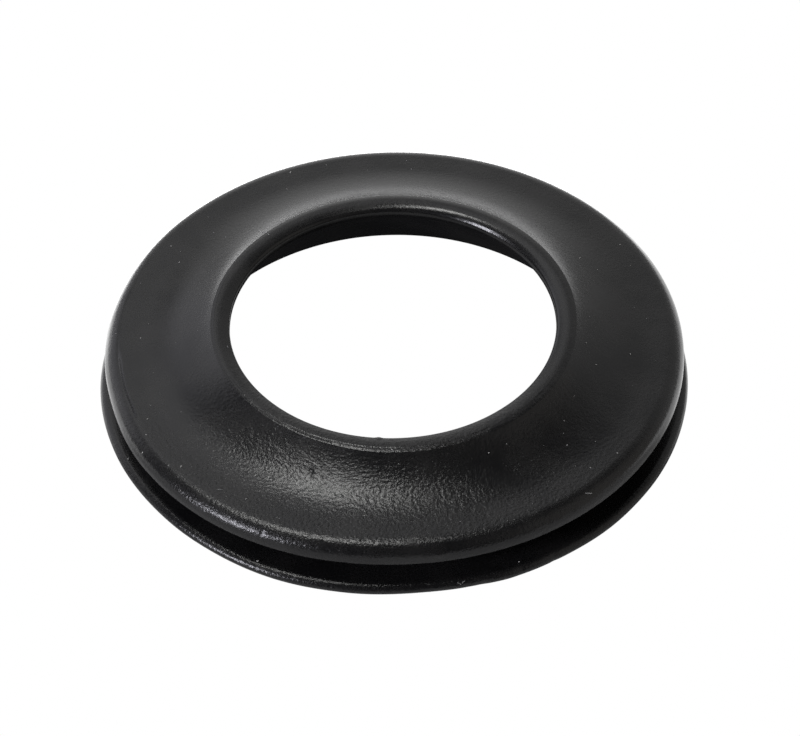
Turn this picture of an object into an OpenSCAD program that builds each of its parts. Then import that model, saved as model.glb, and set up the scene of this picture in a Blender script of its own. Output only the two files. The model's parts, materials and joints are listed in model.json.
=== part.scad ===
// Rubber grommet with a raised flared collar.
//
// One moulded ring. Two flanges hold the edge of a panel hole between them: a
// thin lower flange and a thicker upper one with a rounded rim. The upper
// flange sweeps up in a concave flare to a narrow domed lip round the bore.
// Below a short cylindrical throat the bore opens out as a cone, so that the
// wall stays even and the collar stays soft.
//
// The ring is a single revolved section. Z = 0 is the underside, and the Z
// axis is the axis of the bore.

/* [Overall] */
// Height from the underside to the crest of the lip
height = 9.2; // [7.5:0.1:14]
// Facets round the ring
facets = 180; // [48:12:360]
// Greatest distance between a rounding of the section and its chords
arc_error = 0.002; // [0.001:0.001:0.02]

/* [Bore] */
// Diameter of the bore at its throat
bore_d = 33; // [24:0.5:40]
// Length of the cylindrical throat, measured down from the edge of the lip
throat_l = 0.4; // [0.3:0.1:3]
// Wall between the opening in the underside and the groove's floor
mouth_wall = 2.2; // [1.2:0.1:4]
// Radius of the edge round that opening
mouth_round = 1.2; // [0.4:0.1:1.6]

/* [Lip] */
// Width of the lip, from the bore to where the flare begins
lip_w = 2.3; // [1.9:0.1:4]
// Distance from the bore to the highest ring of the lip
lip_crest = 1.35; // [1.1:0.05:1.6]
// Radius of the lip's domed top, in section
lip_dome = 3.2; // [2:0.1:6]
// Radius of the edge between the lip and the bore
lip_inner_round = 0.5; // [0.3:0.05:1.25]
// Radius of the edge between the lip and the flare
lip_outer_round = 0.15; // [0.05:0.05:0.3]

/* [Upper flange] */
// Overhang of the upper flange beyond the groove's floor
rim_reach = 4.5; // [3:0.1:10]
// Height of the rim, from the flange's lower face to the top of its rounding
rim_h = 2.2; // [1.7:0.1:3.5]
// Radius of the rim's upper edge
rim_round = 1.6; // [0.4:0.1:2]
// Radius of the rim's lower edge
rim_edge = 0.3; // [0.1:0.05:0.5]
// Least height that the rim's two rounded edges leave of its straight side
rim_side = 0.1; // [0.05:0.05:0.3]
// Fall of the flange's top towards the rim, in degrees
rim_fall = 3; // [0:0.5:6]
// Radius of the flare between the flange's top and the lip, in section
flare_r = 12.5; // [4:0.5:20]
// Least width that the flare leaves of the flange's top
top_land = 0.5; // [0.2:0.1:2]

/* [Panel groove] */
// Diameter of the groove's floor, which is that of the panel hole
neck_d = 50; // [42:0.5:80]
// Width of the groove, which is the thickness of the panel
groove_w = 2.4; // [1.6:0.1:3.2]
// Radius of the groove's inner corners
groove_round = 0.4; // [0.1:0.05:0.6]

/* [Lower flange] */
// Overhang of the lower flange beyond the groove's floor
flange_reach = 5; // [3:0.1:10]
// Thickness of the lower flange, whose edge is a full round
flange_t = 1.5; // [1:0.1:2.4]

/* [Hidden] */

bore_r = bore_d / 2;
neck_r = neck_d / 2;
lip_r = bore_r + lip_w;
mouth_r = neck_r - mouth_wall;
rim_r = neck_r + rim_reach;
flange_r = neck_r + flange_reach;

// Heights of the groove's two walls, and where its inner corners begin
groove_low = flange_t;
groove_high = flange_t + groove_w;
groove_x = neck_r + groove_round;

// Points of the section are [distance from the axis, height].

// A point at a distance d from p, in a direction given by its tilt from +Z
// towards the outside.
function reach(p, d, tilt) = p + d * [sin(tilt), cos(tilt)];

// Tilt of the direction from p to q
function tilt_to(p, q) = atan2(q[0] - p[0], q[1] - p[1]);

// The outer of the two points at a distance a from p and b from q
function meet(p, a, q, b) =
    let (d = norm(q - p))
    let (along = (d * d + a * a - b * b) / (2 * d))
    let (across = sqrt(a * a - along * along))
    let (u = (q - p) / d)
    p + along * u + across * [-u[1], u[0]];

// Centre of the lower flange's rounded edge
edge_c = [flange_r - flange_t / 2, flange_t / 2];

// Rounding of the rim, limited by the flange's thickness: its centre, and
// where the top of the flange leaves it
rim_arc = min(rim_round, rim_h - rim_edge - rim_side);
rim_c = [rim_r - rim_arc, groove_high + rim_h - rim_arc];
rim_top = reach(rim_c, rim_arc, rim_fall);
rim_edge_c = [rim_r - rim_edge, groove_high + rim_edge];

// Dome of the lip, and the point where its arc would meet the flare
dome_c = [bore_r + lip_crest, height - lip_dome];
lip_corner = dome_c + [lip_r - dome_c[0], sqrt(pow(lip_dome, 2) - pow(lip_r - dome_c[0], 2))];

// The flare is an arc that touches the top of the flange and ends at the lip.
// Its centre is found from the lip's corner, seen from the line of that top,
// and its radius is limited by the room between the lip and the rim.
top_dir = [-cos(rim_fall), sin(rim_fall)];
top_normal = [sin(rim_fall), cos(rim_fall)];
corner_along = (lip_corner - rim_top) * top_dir;
corner_above = (lip_corner - rim_top) * top_normal;
flare_room = corner_along - top_land;
flare_arc = min(flare_r, (pow(flare_room, 2) + pow(corner_above, 2)) / (2 * corner_above));
flare_start = corner_along - sqrt(pow(flare_arc, 2) - pow(flare_arc - corner_above, 2));
flare_foot = rim_top + flare_start * top_dir;
flare_c = flare_foot + flare_arc * top_normal;

// Rounds at the two edges of the lip, each inside the dome
outer_c = meet(dome_c, lip_dome - lip_outer_round, flare_c, flare_arc + lip_outer_round);
inner_x = bore_r + lip_inner_round;
inner_c = [inner_x, dome_c[1] + sqrt(pow(lip_dome - lip_inner_round, 2) - pow(dome_c[0] - inner_x, 2))];

// Hollow under the throat: a cone that touches the rounding of the mouth
throat_low = [bore_r, inner_c[1] - throat_l];
mouth_c = [mouth_r, mouth_round];
cone_tilt = tilt_to(throat_low, mouth_c) + asin(mouth_round / norm(mouth_c - throat_low));

// Points along the arc round c from one tilt to another. An open arc leaves
// out its last point, because the next arc begins there.
function arc(c, r, from, to, open = false) =
    let (steps = max(2, ceil(abs(to - from) / (2 * acos(1 - arc_error / r)))))
    [for (i = [0:steps - (open ? 1 : 0)]) reach(c, r, from + (to - from) * i / steps)];

// The section's outline: up the throat, out over the lip and down the flare to
// the rim, in and out of the groove, and back along the underside. The dome and
// the lower flange's edge have a point at their furthest, which is where the
// height and the diameter are measured.
outline = concat(
    [throat_low],
    arc(inner_c, lip_inner_round, -90, tilt_to(dome_c, inner_c), open = true),
    arc(dome_c, lip_dome, tilt_to(dome_c, inner_c), 0, open = true),
    arc(dome_c, lip_dome, 0, tilt_to(dome_c, outer_c), open = true),
    arc(outer_c, lip_outer_round, tilt_to(dome_c, outer_c), tilt_to(outer_c, flare_c), open = true),
    arc(flare_c, flare_arc, tilt_to(flare_c, outer_c), rim_fall - 180),
    arc(rim_c, rim_arc, rim_fall, 90),
    arc(rim_edge_c, rim_edge, 90, 180),
    arc([groove_x, groove_high - groove_round], groove_round, 0, -90),
    arc([groove_x, groove_low + groove_round], groove_round, -90, -180),
    arc(edge_c, flange_t / 2, 0, 90, open = true),
    arc(edge_c, flange_t / 2, 90, 180),
    arc(mouth_c, mouth_round, 180, cone_tilt + 90)
);

module grommet() {
    color([0.09, 0.09, 0.095])
    rotate_extrude($fn = facets)
    polygon(outline);
}

grommet();
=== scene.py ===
"""Looks of a black rubber grommet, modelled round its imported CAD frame.

The ring is one revolved section, like the CAD solid it stands for, with the small things that moulding
and handling leave: the mould lines, the soft unevenness, a blister, nicks, scuffs, dust and lint.
"""
import json
import math
import random

import bpy
from mathutils import Matrix, Vector, noise


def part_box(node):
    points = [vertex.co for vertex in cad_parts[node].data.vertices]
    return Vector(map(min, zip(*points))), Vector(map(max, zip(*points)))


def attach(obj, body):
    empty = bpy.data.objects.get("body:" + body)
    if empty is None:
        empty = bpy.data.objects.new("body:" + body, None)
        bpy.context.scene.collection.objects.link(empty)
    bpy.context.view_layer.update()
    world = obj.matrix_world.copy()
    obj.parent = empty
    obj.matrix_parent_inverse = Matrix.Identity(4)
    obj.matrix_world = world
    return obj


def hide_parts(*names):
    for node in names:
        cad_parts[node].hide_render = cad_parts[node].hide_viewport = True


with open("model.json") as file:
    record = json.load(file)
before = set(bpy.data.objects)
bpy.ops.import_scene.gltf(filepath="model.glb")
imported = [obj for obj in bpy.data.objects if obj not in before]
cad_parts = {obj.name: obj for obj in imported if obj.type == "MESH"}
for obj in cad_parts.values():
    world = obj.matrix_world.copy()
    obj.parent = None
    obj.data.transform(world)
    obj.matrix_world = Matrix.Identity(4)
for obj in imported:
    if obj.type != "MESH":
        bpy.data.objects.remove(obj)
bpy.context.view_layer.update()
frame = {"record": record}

# Sizes are in millimetres unless a comment says otherwise, and everything given to Blender is in metres
MM = 0.001


# ---------------------------------------------------------------- sizes from the frame

MOUNTS = {mount["name"]: mount for mount in frame["record"]["mounts"]}
BORE = MOUNTS["throat_bore"]["dims"]
GROOVE = MOUNTS["panel_groove"]["dims"]
GROOVE_MIDDLE = MOUNTS["panel_groove"]["pos_m"][2] / MM
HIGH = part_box("grommet")[1]

HEIGHT = HIGH.z / MM
FLANGE_R = HIGH.x / MM
BORE_R = BORE["r_mm"]
THROAT_L = BORE["length_mm"]
NECK_R = GROOVE["r_mm"]
GROOVE_LOW = GROOVE_MIDDLE - GROOVE["length_mm"] / 2
GROOVE_HIGH = GROOVE_MIDDLE + GROOVE["length_mm"] / 2


# ---------------------------------------------------------------- sizes of the section

# As in the CAD source
LIP_W = 2.3
LIP_CREST = 1.35
LIP_DOME = 3.2
LIP_INNER_ROUND = 0.5
LIP_OUTER_ROUND = 0.15
MOUTH_WALL = 2.2
MOUTH_ROUND = 1.2
RIM_REACH = 4.5
RIM_H = 2.2
RIM_ROUND = 1.6
RIM_EDGE = 0.3
RIM_FALL = math.radians(3)
FLARE_R = 12.5
GROOVE_ROUND = 0.4

# The rim's round is a little flattened: a shoulder (distance from the axis where it begins, radius, and
# tilt where it ends), a straight bevel at that tilt, and then a round of the last radius
SHOULDER_START = 27.85
SHOULDER_R = 1.75
SHOULDER_TILT = math.radians(42)
SHOULDER_ROUND = 1.45

# Greatest distance between two points of the outline, on each of its stretches, and the fewest steps
# that an arc has
SPACING = {
    "throat": 0.4,
    "lip_inner": 0.12,
    "dome_inside": 0.11,
    "dome_outside": 0.065,
    "lip_outer": 0.05,
    "flare": 0.36,
    "land": 0.5,
    "shoulder": 0.13,
    "bevel": 0.17,
    "rim_round": 0.13,
    "rim_side": 0.15,
    "rim_edge": 0.1,
    "rim_below": 0.8,
    "groove_corner": 0.15,
    "groove_floor": 0.5,
    "flange_top": 0.4,
    "flange_edge": 0.11,
    "underside": 2.0,
    "mouth": 0.25,
    "cone": 0.8,
}
ARC_STEPS = 3

# Steps round the ring, in degrees: the front, which has the small marks, is finer
FRONT = (-170, -30)
FRONT_STEP = 0.36
BACK_STEP = 1.1


# ---------------------------------------------------------------- unevenness and marks

# How far the soft flanges are out of round, by angle in degrees from +X towards +Y, and the distance
# outwards from the groove's floor over which it grows to that
FLANGE_WARP = (
    (-180, 0), (-160, -0.07), (-145, -0.12), (-133, -0.06), (-113, 0.13), (-100, 0.02), (-85, -0.16),
    (-77, -0.08), (-68, 0.17), (-57, 0.13), (-47, 0.19), (-33, 0.12), (-10, 0), (60, -0.05), (180, 0),
)
RIM_WARP = (
    (-180, -0.14), (-168, -0.26), (-148, 0), (-128, 0.06), (-110, 0), (-98, -0.1), (-88, -0.13),
    (-78, -0.08), (-60, -0.03), (-45, 0), (0, 0.02), (45, 0.12), (95, 0.25), (140, 0.12), (165, -0.05),
    (180, -0.14),
)
WARP_REACH = 4

# The lip's outer edge lies further in than the section's, by angle, and the change ends this far from
# the axis, on the flare
LIP_SHIFT = (
    (-180, -0.34), (-150, -0.32), (-128, -0.26), (-112, -0.22), (-95, -0.05), (-85, 0), (-40, 0),
    (0, -0.2), (60, -0.1), (100, -0.08), (140, -0.25), (180, -0.34),
)
LIP_SHIFT_END = 21.5

# The lower flange's top droops towards its edge: where that begins and by how much
DROOP_START = 27
FLANGE_DROOP = -0.18

# Soft unevenness of the moulding: height and size of its waves
WAVES = (0.022, 7.5)
RIPPLES = (0.006, 2.2)

# The front of the ring, where the mould lines and the grain are strongest: its middle, and how far from
# it that begins and ends to fade, in degrees
FRONT_MIDDLE = -95
FRONT_FADE = (50, 75)

# Mould lines on the lip: distance from the axis, half width and height of a ridge and of the valley and
# the ledge outside it
LIP_RIDGE = (18.13, 0.06, 0.012)
LIP_VALLEY = (18.32, 0.08, -0.018)
LIP_LEDGE = (18.58, 0.07, 0.008)

# A sharper ridge on the lip's outer edge at the front left, with the angle of its middle and its half
# length in degrees
EDGE_RIDGE = (18.5, 0.07, 0.06)
EDGE_RIDGE_SPAN = (-118, 13)

# These lines are kept this far from the bore. Their height comes and goes: its mean share, how much it
# varies, and the size of that noise
LINES_START = 1
LINES_UNEVEN = (0.7, 0.9, 1.7)

# Bumps and nicks: distance from the axis, height, angle, half width along the ring, half width across,
# rise. Past this many half widths nothing of a mark is left.
BUMPS = {
    "blister": (29.45, 4.98, -82, 0.5, 0.26, 0.09),
    "blister_pit": (29.4, 5.2, -84.5, 0.35, 0.16, -0.04),
    "rim_nick": (29.25, 5.4, -117, 0.12, 0.3, -0.09),
    "slope_nick": (21.45, 7.22, -113, 0.14, 0.35, -0.1),
    "inner_bevel": (16.64, 8.83, 53, 9, 0.45, -0.17),
    "hole_bump": (16.72, 8.85, -95.6, 0.3, 0.3, 0.09),
    "lip_dent": (17.6, 9.19, -103, 0.5, 0.3, -0.02),
    "flange_nib": (29.75, 1.1, -84, 0.12, 0.6, 0.08),
    "flange_dent": (29.8, 1.0, -66, 0.5, 0.5, -0.07),
    "flange_notch": (29.9, 0.75, -59, 0.4, 0.5, -0.09),
    "flange_step": (29.9, 0.75, -74, 0.5, 0.5, -0.08),
}
BUMP_END = 3


# ---------------------------------------------------------------- sizes of the dust and lint

# Specks of dust on the ring's top and on the lower flange's: distance from the axis, angle and size
SPECKS = (
    (19.8, -9, 0.065), (21.1, -15, 0.065), (24.1, -7, 0.065), (27.6, -37, 0.08), (26.8, -44, 0.065),
    (21.4, -38, 0.065), (23.3, -43, 0.065), (20.2, -57, 0.08), (20.3, -63, 0.065), (25.4, 115, 0.08),
    (27.6, 104, 0.08), (27.8, 112, 0.08), (27.1, 147, 0.08), (25.1, 173, 0.065), (25, 151, 0.065),
    (25.9, 85, 0.065), (26.7, 23, 0.065), (27.3, 30, 0.065), (22.1, 29, 0.065), (26.9, -157, 0.08),
    (27.9, -153, 0.08), (29.1, -150, 0.12), (27.4, -141, 0.12), (28.2, -143, 0.08), (26.5, -124, 0.08),
    (29.2, -137, 0.09), (18.5, -91, 0.08), (18.4, -145, 0.065),
)
FLANGE_SPECKS = ((29.3, -157, 0.08), (29.3, -118, 0.1), (29.2, -66, 0.08))

# The finer specks among them: seed of their places, how many, distances from the axis and sizes
DUST_SEED = 7
FINE_SPECKS = 70
FINE_PLACE = (19.5, 29)
FINE_SIZE = (0.02, 0.04)

# The shape of a speck: rings and points in a ring, its three half widths as shares of its size, and how
# rough it is
SPECK_RINGS = 3
SPECK_SIDES = 6
SPECK_LONG = (0.8, 1.5)
SPECK_WIDE = (0.6, 1.0)
SPECK_TALL = (0.4, 0.8)
SPECK_ROUGH = (0.75, 1.2)

# Scuffs and fibres that lie on the ring: both ends (distance from the axis, angle) and thickness, and how
# far they sway
SCRATCHES = (
    ((20.3, 132.7), (18.0, 134.3), 0.018),
    ((17.12, -168.7), (16.92, -168.5), 0.03),
    ((28.7, -49.5), (29.0, -48.2), 0.035),
    ((27.2, -131), (26.8, -129.8), 0.02),
)
SCRATCH_STEPS = 10
SCRATCH_SWAY = 0.05

# The curled fibre on the flange's edge: distance from the axis, angle, height, how far it reaches round
# in degrees, half height, sway and thickness
CURL = (29.85, -78, 1.15, 1.4, 0.16, 0.06, 0.03)
CURL_STEPS = 16

# Points round a fibre, and the share of its thickness that it has at its ends
THREAD_SIDES = 6
THREAD_TIP = 0.3


# ---------------------------------------------------------------- numbers of the materials

# The skin: depth of the pebbles, of the grain drawn out round the ring, of the pits and of the fine ribs
PEEL_DEPTH = 0.05
LINE_DEPTH = 0.018
PIT_DEPTH = 0.012
RIB_DEPTH = 0.03

# Their noises, and those of the large patches and the fine speckle of the gloss: scale in 1/mm, detail
# and roughness. The pits are cells of such a scale, with an edge between two distances from their middles.
PEEL_NOISE = (2.9, 3.0, 0.55)
LINE_NOISE = (3.6, 2.0, 0.5)
RIB_NOISE = (2.1, 1.0, 0.5)
PATCH_NOISE = (0.16, 3.0, 0.6)
SPECKLE_NOISE = (5.0, 2.0, 0.6)
PIT_SCALE = 1.7
PIT_EDGE = (0.05, 0.22)

# Angles are turned into lengths at this distance from the axis. The lines are drawn out along the ring,
# and the ribs across it, by these shares of their scale.
SKIN_RADIUS = 24
LINE_STRETCH = 0.45
RIB_STRETCH = 0.25

# The ribs lie round one place at the front: its angle and distance from the axis, and how far from them
# the ribs begin and end to fade, in radians and in millimetres
RIB_MIDDLE = math.radians(-80)
RIB_RADIUS = 24
RIB_FADE_ROUND = (0.15, 0.3)
RIB_FADE_ACROSS = (1.0, 3.0)

# How deep all of the skin is at the front and elsewhere, and how far from the front's middle it changes,
# in radians
GRAIN_FRONT = 1.12
GRAIN_BACK = 0.3
GRAIN_FADE = (0.6, 1.3)

# The rubber's roughness (least, and what the patches and the speckle add), its colours, how much the
# speckle has to do with them, between which levels one turns into the other, and its refractive index
RUBBER_ROUGH = 0.16
PATCH_ROUGH = 0.14
SPECKLE_ROUGH = 0.08
RUBBER_DARK = (0.008, 0.008, 0.0085, 1)
RUBBER_PALE = (0.017, 0.0165, 0.0165, 1)
SPECKLE_TONE = 0.4
TONE_EDGE = (0.45, 0.95)
RUBBER_IOR = 1.5

# Dust and lint: both colours and the mottle's scale in 1/mm; then, for both, the mottle's detail and
# roughness, the bump's strength and depth, and the surface's least roughness and what the mottle adds
DUST_COLORS = ((0.3, 0.295, 0.29, 1), (0.75, 0.74, 0.72, 1))
DUST_SCALE = 6.0
LINT_COLORS = ((0.2, 0.2, 0.2, 1), (0.6, 0.6, 0.59, 1))
LINT_SCALE = 9.0
MOTTLE_NOISE = (3.0, 0.6)
MOTTLE_BUMP = (0.6, 0.02)
MOTTLE_ROUGH = (0.55, 0.3)


# ---------------------------------------------------------------- numbers of the studio

# Soft round lights: azimuth from +X towards +Y and elevation that they come from, half angles where they
# begin and end to fade, in degrees, and radiance, where 1 is the white of the floor. Two come from below,
# through the hole in the floor: the second takes back what the first gives near straight below, so that
# together they are a ring of light for the wall of the bore.
LIGHTS = {
    "softbox": (153, 76.8, 6.4, 8.9, (15.4, 15.4, 15.1)),
    "left_front": (-148.5, 19.5, 4, 9.5, (33, 33, 36)),
    "rear_left": (138.6, 19.3, 15.5, 27.5, (0.84, 0.84, 0.89)),
    "horizon": (96, 12.7, 1, 28, (0.62, 0.62, 0.62)),
    "backdrop": (112, 52, 13, 19, (0.88, 0.88, 0.895)),
    "rear_right": (61, 10, 37, 46, (0.39, 0.39, 0.39)),
    "right": (-15, 21, 10, 45, (0.35, 0.335, 0.32)),
    "left_top": (-161, 58.5, 2.4, 8.6, (1.1, 1.1, 1.1)),
    "below": (0, -90, 80, 90, (0.4, 0.4, 0.4)),
    "straight_below": (0, -90, 46, 60, (-0.388, -0.388, -0.387)),
}
WHITE = (1, 1, 1, 1)

# The floor: its radius, the hole under the object, its drop below it, and points round it
FLOOR_R = 2000
FLOOR_HOLE = 29
FLOOR_DROP = 0.02
FLOOR_SIDES = 96
FLOOR_COLOR = (0.5, 0.5, 0.5, 1)

# The floor shines on the object from behind it: azimuth of that side in degrees, and cosines of the angles
# from it where the glow begins and is full. Its level falls with the distance from the axis: two parts
# (level, where it begins and ends to fade) and what is left far off, and last the level on every side.
GLOW_AZIMUTH = 102
GLOW_EDGE = (0.31, 0.93)
GLOW_NEAR = (4.7, 38, 66)
GLOW_MIDDLE = (0.72, 90, 150)
GLOW_FAR = 0.42
GLOW_BASE = 0.135

# It also shines at both sides: azimuths, cosines as above, and the glow by distance
GLOW_SIDES = (20, 158)
SIDE_EDGE = (0.75, 0.95)
GLOW_SIDE = (1.2, 160, 400)

# The camera: sensor and lens, nearest and furthest thing it sees in metres, elevation, distance from the
# point on the axis that it looks at, and that point's height in metres. The last three turn it a little,
# so that the ring sits where it should in the picture. Angles are in radians.
SENSOR_W = 36.0
LENS = 246.736
CLIP_START = 0.01
CLIP_END = 20
CAMERA_ELEVATION = 0.776538
CAMERA_DISTANCE = 0.56
CAMERA_AIM = 0.00075
CAMERA_PAN = 0.0011268
CAMERA_TILT = 0.0019734
CAMERA_ROLL = -0.0203923


# ---------------------------------------------------------------- the section

def reach(centre, distance, tilt):
    """Point at a distance from centre, in a direction given by its tilt from +Z towards the outside."""
    return (centre[0] + distance * math.sin(tilt), centre[1] + distance * math.cos(tilt))


def tilt_to(start, end):
    """Tilt of the direction from one point to another."""
    return math.atan2(end[0] - start[0], end[1] - start[1])


def meet(p, a, q, b):
    """The outer of the two points at a distance a from p and b from q."""
    d = math.dist(p, q)
    along = (d * d + a * a - b * b) / (2 * d)
    across = math.sqrt(a * a - along * along)
    u = ((q[0] - p[0]) / d, (q[1] - p[1]) / d)
    return (p[0] + along * u[0] - across * u[1], p[1] + along * u[1] + across * u[0])


def arc(stretch, centre, radius, start, end):
    """Points along an arc between two tilts, without its last point."""
    count = max(ARC_STEPS, math.ceil(abs(end - start) * radius / SPACING[stretch]))
    return [reach(centre, radius, start + (end - start) * i / count) for i in range(count)]


def straight(stretch, start, end):
    """Points along a straight stretch, without its last point."""
    count = max(1, math.ceil(math.dist(start, end) / SPACING[stretch]))
    return [(start[0] + (end[0] - start[0]) * i / count, start[1] + (end[1] - start[1]) * i / count)
            for i in range(count)]


def section():
    """The closed outline of the ring's section as (distance from the axis, height), up the bore first."""
    quarter = math.pi / 2
    lip_r = BORE_R + LIP_W
    mouth_r = NECK_R - MOUTH_WALL
    rim_r = NECK_R + RIM_REACH
    groove_x = NECK_R + GROOVE_ROUND
    edge_round = GROOVE_LOW / 2
    edge = (FLANGE_R - edge_round, edge_round)

    # The rim's shoulder, bevel and round
    rim = (rim_r - RIM_ROUND, GROOVE_HIGH + RIM_H - RIM_ROUND)
    rim_top = reach(rim, RIM_ROUND, RIM_FALL)
    land = (SHOULDER_START, rim_top[1] + (rim_top[0] - SHOULDER_START) * math.tan(RIM_FALL))
    shoulder = reach(land, -SHOULDER_R, RIM_FALL)
    bevel = reach(shoulder, SHOULDER_R, SHOULDER_TILT)
    bevel_foot_x = rim_r - SHOULDER_ROUND * (1 - math.sin(SHOULDER_TILT))
    bevel_foot = (bevel_foot_x, bevel[1] - (bevel_foot_x - bevel[0]) * math.tan(SHOULDER_TILT))
    rim_round = reach(bevel_foot, -SHOULDER_ROUND, SHOULDER_TILT)
    rim_edge = (rim_r - RIM_EDGE, GROOVE_HIGH + RIM_EDGE)

    # The flare touches the line of the flange's top and ends at the lip's corner
    dome = (BORE_R + LIP_CREST, HEIGHT - LIP_DOME)
    corner = (lip_r, dome[1] + math.sqrt(LIP_DOME ** 2 - (lip_r - dome[0]) ** 2))
    along = (rim_top[0] - corner[0]) * math.cos(RIM_FALL) - (rim_top[1] - corner[1]) * math.sin(RIM_FALL)
    above = (corner[1] - rim_top[1]) * math.cos(RIM_FALL) + (corner[0] - rim_top[0]) * math.sin(RIM_FALL)
    start = along - math.sqrt(FLARE_R ** 2 - (FLARE_R - above) ** 2)
    flare_foot = (rim_top[0] - start * math.cos(RIM_FALL), rim_top[1] + start * math.sin(RIM_FALL))
    flare = reach(flare_foot, FLARE_R, RIM_FALL)

    # Rounds at the lip's two edges, and the cone below the throat
    outer = meet(dome, LIP_DOME - LIP_OUTER_ROUND, flare, FLARE_R + LIP_OUTER_ROUND)
    inner_x = BORE_R + LIP_INNER_ROUND
    inner_z = dome[1] + math.sqrt((LIP_DOME - LIP_INNER_ROUND) ** 2 - (dome[0] - inner_x) ** 2)
    inner = (inner_x, inner_z)
    throat_low = (BORE_R, inner_z - THROAT_L)
    mouth = (mouth_r, MOUTH_ROUND)
    cone = tilt_to(throat_low, mouth) + math.asin(MOUTH_ROUND / math.dist(throat_low, mouth))
    cone_foot = reach(mouth, MOUTH_ROUND, cone + quarter)
    groove_top = (groove_x, GROOVE_HIGH - GROOVE_ROUND)
    groove_foot = (groove_x, GROOVE_LOW + GROOVE_ROUND)

    points = straight("throat", throat_low, (BORE_R, inner_z))
    points += arc("lip_inner", inner, LIP_INNER_ROUND, -quarter, tilt_to(dome, inner))
    points += arc("dome_inside", dome, LIP_DOME, tilt_to(dome, inner), 0)
    points += arc("dome_outside", dome, LIP_DOME, 0, tilt_to(dome, outer))
    points += arc("lip_outer", outer, LIP_OUTER_ROUND, tilt_to(dome, outer), tilt_to(outer, flare))
    points += arc("flare", flare, FLARE_R, tilt_to(flare, outer), RIM_FALL - math.pi)
    points += straight("land", flare_foot, land)
    points += arc("shoulder", shoulder, SHOULDER_R, RIM_FALL, SHOULDER_TILT)
    points += straight("bevel", bevel, bevel_foot)
    points += arc("rim_round", rim_round, SHOULDER_ROUND, SHOULDER_TILT, quarter)
    points += straight("rim_side", (rim_r, rim_round[1]), (rim_r, rim_edge[1]))
    points += arc("rim_edge", rim_edge, RIM_EDGE, quarter, 2 * quarter)
    points += straight("rim_below", (rim_edge[0], GROOVE_HIGH), (groove_x, GROOVE_HIGH))
    points += arc("groove_corner", groove_top, GROOVE_ROUND, 0, -quarter)
    points += straight("groove_floor", (NECK_R, groove_top[1]), (NECK_R, groove_foot[1]))
    points += arc("groove_corner", groove_foot, GROOVE_ROUND, -quarter, -2 * quarter)
    points += straight("flange_top", (groove_x, GROOVE_LOW), (edge[0], GROOVE_LOW))
    points += arc("flange_edge", edge, edge_round, 0, 2 * quarter)
    points += straight("underside", (edge[0], 0), (mouth_r, 0))
    points += arc("mouth", mouth, MOUTH_ROUND, 2 * quarter, cone + quarter)
    points += straight("cone", cone_foot, throat_low)
    return points


# ---------------------------------------------------------------- the ring

def turns():
    """Angles round the ring, in radians from +X towards +Y."""
    start, end = FRONT
    back_span = 360 - end + start
    front = round((end - start) / FRONT_STEP)
    back = round(back_span / BACK_STEP)
    angles = [start + (end - start) * i / front for i in range(front)]
    angles += [end + back_span * i / back for i in range(back)]
    return [math.radians(angle) for angle in angles]


def smooth(t):
    """Smooth step from 0 to 1."""
    t = min(1.0, max(0.0, t))
    return t * t * (3 - 2 * t)


def between(knots, angle):
    """Smooth value at an angle in degrees between knots of (angle, value)."""
    for (a, u), (b, v) in zip(knots, knots[1:]):
        if a <= angle <= b:
            return u + (v - u) * smooth((angle - a) / (b - a))
    return 0.0


def bell(distance, half_width):
    """A soft hump of height 1."""
    return math.exp(-(distance / half_width) ** 2)


def front_share(angle):
    """1 at the front of the ring and 0 elsewhere, with a smooth change between."""
    away = abs(angle - FRONT_MIDDLE)
    away = min(away, 360 - away)
    near, far = FRONT_FADE
    return smooth((far - away) / (far - near))


def warp(r, z, angle):
    """Distance outwards that a flange is bent, or the lip's edge moved, at an angle in degrees."""
    if z > GROOVE_HIGH + RIM_H:
        edge = BORE_R + LIP_W
        crest = BORE_R + LIP_CREST
        inside = smooth((r - crest) / (edge - crest))
        outside = smooth((LIP_SHIFT_END - r) / (LIP_SHIFT_END - edge))
        return between(LIP_SHIFT, angle) * min(inside, outside)
    share = min(1.0, max(0.0, (r - NECK_R) / WARP_REACH))
    if z <= GROOVE_LOW:
        return between(FLANGE_WARP, angle) * share
    if z >= GROOVE_HIGH:
        return between(RIM_WARP, angle) * share
    return 0.0


def rise(r, z, angle, place):
    """Distance that the surface stands out from the plain section. The waves only go inwards."""
    out = 0.0
    for height, size in (WAVES, RIPPLES):
        out += height * (noise.noise(place / size) - 1) / 2
    if z > GROOVE_HIGH + RIM_H and r > BORE_R + LINES_START:
        mean, varies, size = LINES_UNEVEN
        uneven = mean + varies * noise.noise(place / size)
        front = front_share(angle)
        for centre, half_width, height in (LIP_RIDGE, LIP_VALLEY, LIP_LEDGE):
            out += height * uneven * front * bell(r - centre, half_width)
        centre, half_width, height = EDGE_RIDGE
        middle, half_length = EDGE_RIDGE_SPAN
        out += height * uneven * bell(r - centre, half_width) * bell(angle - middle, half_length)
    if r > DROOP_START and GROOVE_LOW / 2 < z <= GROOVE_LOW:
        over = smooth((r - DROOP_START) / (FLANGE_R - DROOP_START))
        out += FLANGE_DROOP * over * (2 * z / GROOVE_LOW - 1)
    for mark_r, mark_z, mark_angle, along, across, height in BUMPS.values():
        a = math.radians(angle - mark_angle) * mark_r
        b = math.hypot(r - mark_r, z - mark_z)
        if abs(a) < BUMP_END * along and b < BUMP_END * across:
            out += height * bell(a, along) * bell(b, across)
    return out


def normals(outline):
    """Outward normals of a closed outline."""
    found = []
    for i in range(len(outline)):
        (r0, z0), (r1, z1) = outline[i - 1], outline[(i + 1) % len(outline)]
        length = math.hypot(r1 - r0, z1 - z0)
        found.append(((z0 - z1) / length, (r1 - r0) / length))
    return found


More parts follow.
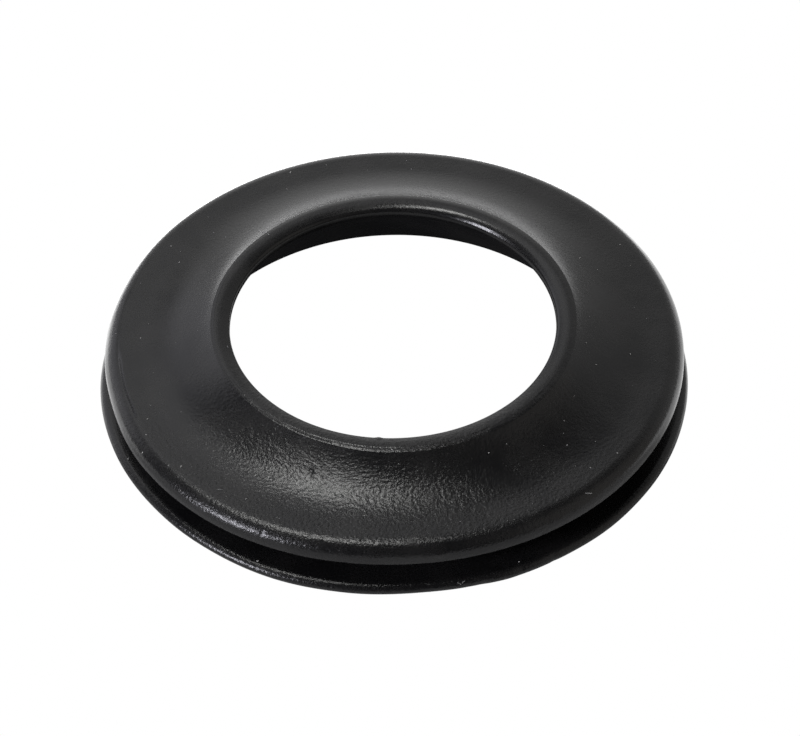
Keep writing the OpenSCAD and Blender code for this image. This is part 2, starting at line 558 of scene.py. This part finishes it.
def revolve(name, outline):
    """A closed ring from an outline, with its unevenness and marks, kept inside the CAD box."""
    verts = []
    angles = turns()
    facing = normals(outline)
    for radians in angles:
        c, s = math.cos(radians), math.sin(radians)
        angle = math.degrees(radians)
        angle = angle - 360 if angle > 180 else angle
        furthest = FLANGE_R / max(abs(c), abs(s))
        for (r, z), (out_r, out_z) in zip(outline, facing):
            lift = rise(r, z, angle, Vector((r * c, r * s, z)))
            lift_r = min(r + warp(r, z, angle) + out_r * lift, furthest)
            lift_z = min(max(z + out_z * lift, 0.0), HEIGHT)
            verts.append((lift_r * c * MM, lift_r * s * MM, lift_z * MM))
    n = len(outline)
    faces = []
    for i in range(len(angles)):
        a, b = i * n, (i + 1) % len(angles) * n
        faces += [(a + j, a + (j + 1) % n, b + (j + 1) % n, b + j) for j in range(n)]
    ring = new_piece(name, verts, faces)
    ring.data.shade_smooth()
    return ring


def new_piece(name, verts, faces):
    """An object from a mesh in metres."""
    mesh = bpy.data.meshes.new(name)
    mesh.from_pydata(verts, [], faces)
    piece = bpy.data.objects.new(name, mesh)
    bpy.context.scene.collection.objects.link(piece)
    return piece


# ---------------------------------------------------------------- nodes

def new_material(name):
    """A material with no nodes yet."""
    material = bpy.data.materials.new(name)
    material.use_nodes = True
    material.node_tree.nodes.clear()
    return material


def plug(tree, socket, value):
    """Sets an input, or links it to another node's output."""
    if isinstance(value, bpy.types.NodeSocket):
        tree.links.new(value, socket)
    else:
        socket.default_value = value


def add(tree, kind, **inputs):
    """A node with its inputs set or linked by name."""
    node = tree.nodes.new(kind)
    for key, value in inputs.items():
        plug(tree, node.inputs[key.replace("_", " ")], value)
    return node


def math_node(tree, operation, *values):
    """Result of a sum on numbers."""
    node = tree.nodes.new("ShaderNodeMath")
    node.operation = operation
    for socket, value in zip(node.inputs, values):
        plug(tree, socket, value)
    return node.outputs[0]


def vector_math(tree, operation, *values):
    """Result of a sum on vectors."""
    node = tree.nodes.new("ShaderNodeVectorMath")
    node.operation = operation
    for socket, value in zip(node.inputs, values):
        plug(tree, socket, value)
    return node.outputs["Value" if operation in ("LENGTH", "DOT_PRODUCT") else "Vector"]


def ramp(tree, value, start, end, low, high):
    """Smooth step from low to high as a value goes from start to end."""
    node = tree.nodes.new("ShaderNodeMapRange")
    node.interpolation_type = "SMOOTHSTEP"
    settings = {"Value": value, "From Min": start, "From Max": end, "To Min": low, "To Max": high}
    for name, setting in settings.items():
        plug(tree, node.inputs[name], setting)
    return node.outputs["Result"]


def apart(tree, value, middle):
    """How far a value is from a middle, either way."""
    return math_node(tree, "ABSOLUTE", math_node(tree, "SUBTRACT", value, middle))


def grain(tree, where, scale, detail, roughness):
    """Noise from about 0.2 to 0.8."""
    node = add(tree, "ShaderNodeTexNoise", Vector=where, Scale=scale, Detail=detail, Roughness=roughness)
    return node.outputs["Fac"]


def mix_colors(tree, share, dark, light):
    """A colour between two."""
    node = tree.nodes.new("ShaderNodeMix")
    node.data_type = "RGBA"
    for name, value in (("Factor", share), ("A", dark), ("B", light)):
        plug(tree, node.inputs[name], value)
    return node.outputs["Result"]


def mix_shaders(tree, share, first, second):
    """The first shader where share is 0, the second where it is 1."""
    node = tree.nodes.new("ShaderNodeMixShader")
    for socket, value in zip(node.inputs, (share, first, second)):
        plug(tree, socket, value)
    return node.outputs[0]


def in_millimetres(tree):
    """The place on the object, in millimetres."""
    coords = add(tree, "ShaderNodeTexCoord")
    node = tree.nodes.new("ShaderNodeVectorMath")
    node.operation = "SCALE"
    plug(tree, node.inputs[0], coords.outputs["Object"])
    plug(tree, node.inputs["Scale"], 1 / MM)
    return node.outputs[0]


# ---------------------------------------------------------------- materials

def skin_height(tree, where):
    """Height of the rubber's skin: pebbles, finer grain drawn out round the ring, pits, and ribs."""
    x, y, z = add(tree, "ShaderNodeSeparateXYZ", Vector=where).outputs
    radius = vector_math(tree, "LENGTH", add(tree, "ShaderNodeCombineXYZ", X=x, Y=y).outputs[0])
    turn = math_node(tree, "ARCTAN2", y, x)
    along = math_node(tree, "MULTIPLY", turn, SKIN_RADIUS)
    line_x = math_node(tree, "MULTIPLY", along, LINE_STRETCH)
    drawn = add(tree, "ShaderNodeCombineXYZ", X=line_x, Y=radius, Z=z).outputs[0]
    rib_y = math_node(tree, "MULTIPLY", radius, RIB_STRETCH)
    ribbed = add(tree, "ShaderNodeCombineXYZ", X=along, Y=rib_y, Z=0.0).outputs[0]

    peel = grain(tree, where, *PEEL_NOISE)
    lines = grain(tree, drawn, *LINE_NOISE)
    ribs = grain(tree, ribbed, *RIB_NOISE)
    cells = add(tree, "ShaderNodeTexVoronoi", Vector=where, Scale=PIT_SCALE, Randomness=1.0)
    pits = ramp(tree, cells.outputs["Distance"], *PIT_EDGE, 0.0, 1.0)
    round_here = ramp(tree, apart(tree, turn, RIB_MIDDLE), *RIB_FADE_ROUND, 1.0, 0.0)
    across_here = ramp(tree, apart(tree, radius, RIB_RADIUS), *RIB_FADE_ACROSS, 1.0, 0.0)
    ribs = math_node(tree, "MULTIPLY", ribs, math_node(tree, "MULTIPLY", round_here, across_here))

    height = math_node(tree, "MULTIPLY", peel, PEEL_DEPTH)
    for layer, depth in ((lines, LINE_DEPTH), (pits, PIT_DEPTH), (ribs, RIB_DEPTH)):
        height = math_node(tree, "MULTIPLY_ADD", layer, depth, height)
    away = apart(tree, turn, math.radians(FRONT_MIDDLE))
    return math_node(tree, "MULTIPLY", height, ramp(tree, away, *GRAIN_FADE, GRAIN_FRONT, GRAIN_BACK))


def finish_material(material, color, roughness, bump, **inputs):
    """Gives a material its shader, and the shader its uniform inputs."""
    tree = material.node_tree
    shader = add(tree, "ShaderNodeBsdfPrincipled", Base_Color=color, Roughness=roughness,
                 Normal=bump.outputs["Normal"], **inputs)
    add(tree, "ShaderNodeOutputMaterial", Surface=shader.outputs["BSDF"])
    return material


def rubber():
    """Black moulded rubber, whose gloss and tone vary in large patches and in a fine speckle."""
    material = new_material("black_rubber_skin")
    tree = material.node_tree
    where = in_millimetres(tree)
    bump = add(tree, "ShaderNodeBump", Height=skin_height(tree, where), Strength=1.0, Distance=MM)
    patches = grain(tree, where, *PATCH_NOISE)
    speckle = grain(tree, where, *SPECKLE_NOISE)
    rough = math_node(tree, "MULTIPLY_ADD", patches, PATCH_ROUGH, RUBBER_ROUGH)
    rough = math_node(tree, "MULTIPLY_ADD", speckle, SPECKLE_ROUGH, rough)
    level = math_node(tree, "MULTIPLY_ADD", speckle, SPECKLE_TONE, patches)
    tone = ramp(tree, level, *TONE_EDGE, 0.0, 1.0)
    color = mix_colors(tree, tone, RUBBER_DARK, RUBBER_PALE)
    return finish_material(material, color, rough, bump, IOR=RUBBER_IOR)


def pale(name, colors, scale):
    """Matt pale stuff, mottled: dust, lint and the like."""
    material = new_material(name)
    tree = material.node_tree
    mottle = grain(tree, in_millimetres(tree), scale, *MOTTLE_NOISE)
    strength, depth = MOTTLE_BUMP
    bump = add(tree, "ShaderNodeBump", Height=mottle, Strength=strength, Distance=depth * MM)
    least, more = MOTTLE_ROUGH
    rough = math_node(tree, "MULTIPLY_ADD", mottle, more, least)
    return finish_material(material, mix_colors(tree, mottle, *colors), rough, bump)


# ---------------------------------------------------------------- dust and lint

def direction(azimuth, elevation):
    """Unit vector at an azimuth from +X towards +Y and an elevation, in degrees."""
    a, e = math.radians(azimuth), math.radians(elevation)
    return Vector((math.cos(e) * math.cos(a), math.cos(e) * math.sin(a), math.sin(e)))


def outward(angle, tilt):
    """Unit vector at an angle in degrees and a tilt from +Z in radians."""
    a = math.radians(angle)
    return Vector((math.cos(a) * math.sin(tilt), math.sin(a) * math.sin(tilt), math.cos(tilt)))


def surface(outline, r, angle, low=False):
    """Place on the ring's top, or on the lower flange's, and the tilt of the surface's normal there."""
    if low:
        side = [(pr, pz) for pr, pz in outline if pz <= GROOVE_LOW and pr > NECK_R + GROOVE_ROUND]
    else:
        side = [(pr, pz) for pr, pz in outline if pz > GROOVE_HIGH + RIM_EDGE]
    for (r0, z0), (r1, z1) in zip(side, side[1:]):
        if r0 <= r < r1:
            z = z0 + (z1 - z0) * (r - r0) / (r1 - r0)
            out = r + warp(r, z, angle)
            a = math.radians(angle)
            return Vector((out * math.cos(a), out * math.sin(a), z)), math.atan2(z0 - z1, r1 - r0)
    raise ValueError("no surface at %.2f" % r)


def small_piece(name, verts, faces, material):
    """A piece from a mesh in millimetres that lies on the ring, and rides with it."""
    piece = new_piece(name, [(x * MM, y * MM, min(z, HEIGHT) * MM) for x, y, z in verts], faces)
    piece.data.shade_smooth()
    piece.data.materials.append(material)
    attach(piece, "root")


def blob(verts, faces, place, up, size, rng):
    """Adds an uneven grain of dust that is half sunk in the surface."""
    first = len(verts)
    side = up.orthogonal().normalized()
    other = up.cross(side)
    long, wide, tall = [size * rng.uniform(*share) for share in (SPECK_LONG, SPECK_WIDE, SPECK_TALL)]
    turn = rng.uniform(0, math.tau)
    for i in range(1, SPECK_RINGS + 1):
        lat = math.pi * i / (SPECK_RINGS + 1)
        for j in range(SPECK_SIDES):
            lon = turn + math.tau * j / SPECK_SIDES
            rough = rng.uniform(*SPECK_ROUGH)
            flat = side * math.cos(lon) * long + other * math.sin(lon) * wide
            verts.append(place + (flat * math.sin(lat) + up * math.cos(lat) * tall) * rough)
    top, bottom = len(verts), len(verts) + 1
    last = first + (SPECK_RINGS - 1) * SPECK_SIDES
    verts += [place + up * tall, place - up * tall]
    for j in range(SPECK_SIDES):
        k = (j + 1) % SPECK_SIDES
        faces.append((top, first + j, first + k))
        faces.append((bottom, last + k, last + j))
        for i in range(SPECK_RINGS - 1):
            a, b = first + i * SPECK_SIDES, first + (i + 1) * SPECK_SIDES
            faces.append((a + j, b + j, b + k, a + k))


def dust(outline):
    """The specks that have a place of their own, and finer dust among them."""
    rng = random.Random(DUST_SEED)
    verts, faces = [], []
    specks = [(r, angle, size, False) for r, angle, size in SPECKS]
    specks += [(r, angle, size, True) for r, angle, size in FLANGE_SPECKS]
    for i in range(FINE_SPECKS):
        specks.append((rng.uniform(*FINE_PLACE), rng.uniform(-180, 180), rng.uniform(*FINE_SIZE), False))
    for r, angle, size, low in specks:
        place, tilt = surface(outline, r, angle, low)
        blob(verts, faces, place, outward(angle, tilt), size, rng)
    small_piece("dust", verts, faces, pale("dust_grains", DUST_COLORS, DUST_SCALE))


def thread(verts, faces, path, radius):
    """Adds a thin tube along a path of points, tapering at both ends."""
    first = len(verts)
    end = len(path) - 1
    for i, place in enumerate(path):
        ahead = (path[min(i + 1, end)] - path[max(i - 1, 0)]).normalized()
        side = ahead.orthogonal().normalized()
        other = ahead.cross(side)
        width = radius * (THREAD_TIP if i in (0, end) else 1.0)
        for j in range(THREAD_SIDES):
            turn = math.tau * j / THREAD_SIDES
            verts.append(place + (side * math.cos(turn) + other * math.sin(turn)) * width)
    sides = range(THREAD_SIDES)
    for i in range(end):
        a, b = first + i * THREAD_SIDES, first + (i + 1) * THREAD_SIDES
        faces += [(a + j, a + (j + 1) % THREAD_SIDES, b + (j + 1) % THREAD_SIDES, b + j) for j in sides]
    faces.append(tuple(first + j for j in reversed(sides)))
    faces.append(tuple(first + end * THREAD_SIDES + j for j in sides))


def lint(outline):
    """The scuffs and fibres that lie on the ring, and a curled fibre on the lower flange's edge."""
    verts, faces = [], []
    for (r0, angle0), (r1, angle1), radius in SCRATCHES:
        path = []
        for i in range(SCRATCH_STEPS + 1):
            t = i / SCRATCH_STEPS
            angle = angle0 + (angle1 - angle0) * t
            place, tilt = surface(outline, r0 + (r1 - r0) * t, angle)
            sway = SCRATCH_SWAY * noise.noise(place)
            aside = outward(angle + 90, math.pi / 2) * sway
            path.append(place + outward(angle, tilt) * radius * 0.5 + aside)
        thread(verts, faces, path, radius)
    r, angle, z, span, height, sway, radius = CURL
    path = []
    for i in range(CURL_STEPS + 1):
        t = i / CURL_STEPS
        a = math.radians(angle + span * (t - 0.5))
        out = r + sway * math.sin(t * math.tau)
        path.append(Vector((out * math.cos(a), out * math.sin(a), z + height * math.cos(t * math.tau))))
    thread(verts, faces, path, radius)
    small_piece("lint", verts, faces, pale("lint_fibres", LINT_COLORS, LINT_SCALE))


# ---------------------------------------------------------------- studio

def studio():
    """The world: a sum of soft round lights, by direction. The camera sees plain white."""
    world = bpy.data.worlds.new("studio")
    world.use_nodes = True
    tree = world.node_tree
    tree.nodes.clear()
    towards = add(tree, "ShaderNodeTexCoord").outputs["Generated"]
    total = (0, 0, 0)
    for azimuth, elevation, inner, outer, radiance in LIGHTS.values():
        facing = vector_math(tree, "DOT_PRODUCT", towards, direction(azimuth, elevation))
        edge, full = math.cos(math.radians(outer)), math.cos(math.radians(inner))
        soft = ramp(tree, facing, edge, full, 0.0, 1.0)
        total = vector_math(tree, "MULTIPLY_ADD", soft, radiance, total)
    light = add(tree, "ShaderNodeBackground", Color=total)
    plain = add(tree, "ShaderNodeBackground", Color=WHITE)
    seen = add(tree, "ShaderNodeLightPath").outputs["Is Camera Ray"]
    mixed = mix_shaders(tree, seen, light.outputs[0], plain.outputs[0])
    add(tree, "ShaderNodeOutputWorld", Surface=mixed)
    bpy.context.scene.world = world


def glow_by_distance(tree, distance, glow):
    """A level that holds near the axis and fades with the distance from it."""
    level, full, gone = glow
    return ramp(tree, distance, full * MM, gone * MM, level, 0.0)


def glow_window(tree, ahead, azimuth, edge):
    """1 on the side of the floor at an azimuth, 0 elsewhere."""
    side = vector_math(tree, "DOT_PRODUCT", ahead, direction(azimuth, 0))
    return ramp(tree, side, *edge, 0.0, 1.0)


def floor_glow(tree):
    """How strongly the floor shines on the object, by place."""
    place = add(tree, "ShaderNodeNewGeometry").outputs["Position"]
    distance = vector_math(tree, "LENGTH", place)
    ahead = vector_math(tree, "NORMALIZE", place)
    level = GLOW_FAR
    for glow in (GLOW_NEAR, GLOW_MIDDLE):
        level = math_node(tree, "ADD", glow_by_distance(tree, distance, glow), level)
    window = glow_window(tree, ahead, GLOW_AZIMUTH, GLOW_EDGE)
    total = math_node(tree, "MULTIPLY_ADD", window, level, GLOW_BASE)
    fade = glow_by_distance(tree, distance, GLOW_SIDE)
    for azimuth in GLOW_SIDES:
        window = glow_window(tree, ahead, azimuth, SIDE_EDGE)
        total = math_node(tree, "MULTIPLY_ADD", window, fade, total)
    return total


def pale_floor():
    """Plain white to the camera, matt and shining to the object, and clear from below."""
    material = new_material("pale_floor")
    tree = material.node_tree
    white = add(tree, "ShaderNodeEmission", Strength=1.0)
    matt = add(tree, "ShaderNodeBsdfDiffuse", Color=FLOOR_COLOR)
    glow = add(tree, "ShaderNodeEmission", Strength=floor_glow(tree))
    felt = tree.nodes.new("ShaderNodeAddShader")
    plug(tree, felt.inputs[0], matt.outputs[0])
    plug(tree, felt.inputs[1], glow.outputs[0])
    clear = add(tree, "ShaderNodeBsdfTransparent")
    seen = add(tree, "ShaderNodeLightPath").outputs["Is Camera Ray"]
    from_below = add(tree, "ShaderNodeNewGeometry").outputs["Backfacing"]
    by_ray = mix_shaders(tree, seen, felt.outputs[0], white.outputs[0])
    by_side = mix_shaders(tree, from_below, by_ray, clear.outputs[0])
    add(tree, "ShaderNodeOutputMaterial", Surface=by_side)
    return material


def floor():
    """A pale floor. It is left out under the object, so that the underside can be seen and lit."""
    verts = []
    for radius in (FLOOR_HOLE * MM, FLOOR_R * MM):
        for i in range(FLOOR_SIDES):
            angle = math.tau * i / FLOOR_SIDES
            verts.append((radius * math.cos(angle), radius * math.sin(angle), -FLOOR_DROP * MM))
    faces = []
    for i in range(FLOOR_SIDES):
        j = (i + 1) % FLOOR_SIDES
        faces.append((i, i + FLOOR_SIDES, j + FLOOR_SIDES, j))
    ground = new_piece("floor", verts, faces)
    ground.data.materials.append(pale_floor())


def camera():
    """A long lens, 44.5 degrees above the floor."""
    data = bpy.data.cameras.new("camera")
    data.sensor_width = SENSOR_W
    data.lens = LENS
    data.clip_start = CLIP_START
    data.clip_end = CLIP_END
    view = bpy.data.objects.new("camera", data)
    bpy.context.scene.collection.objects.link(view)
    c, s = math.cos(CAMERA_ELEVATION), math.sin(CAMERA_ELEVATION)
    base = Matrix(((1, 0, 0), (0, s, -c), (0, c, s)))
    pan = Matrix.Rotation(-CAMERA_PAN, 3, "Y")
    tilt = Matrix.Rotation(CAMERA_TILT, 3, "X")
    roll = Matrix.Rotation(CAMERA_ROLL, 3, "Z")
    place = Vector((0, 0, CAMERA_AIM)) + Vector((0, -c, s)) * CAMERA_DISTANCE
    view.matrix_world = Matrix.Translation(place) @ (base @ (pan @ tilt @ roll)).to_4x4()
    bpy.context.scene.camera = view


# ---------------------------------------------------------------- build

camera()
studio()
floor()
section_outline = section()
ring = revolve("grommet_ring", section_outline)
ring.data.materials.append(rubber())
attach(ring, "root")
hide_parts("grommet")
dust(section_outline)
lint(section_outline)
bpy.context.scene.view_settings.view_transform = "Standard"
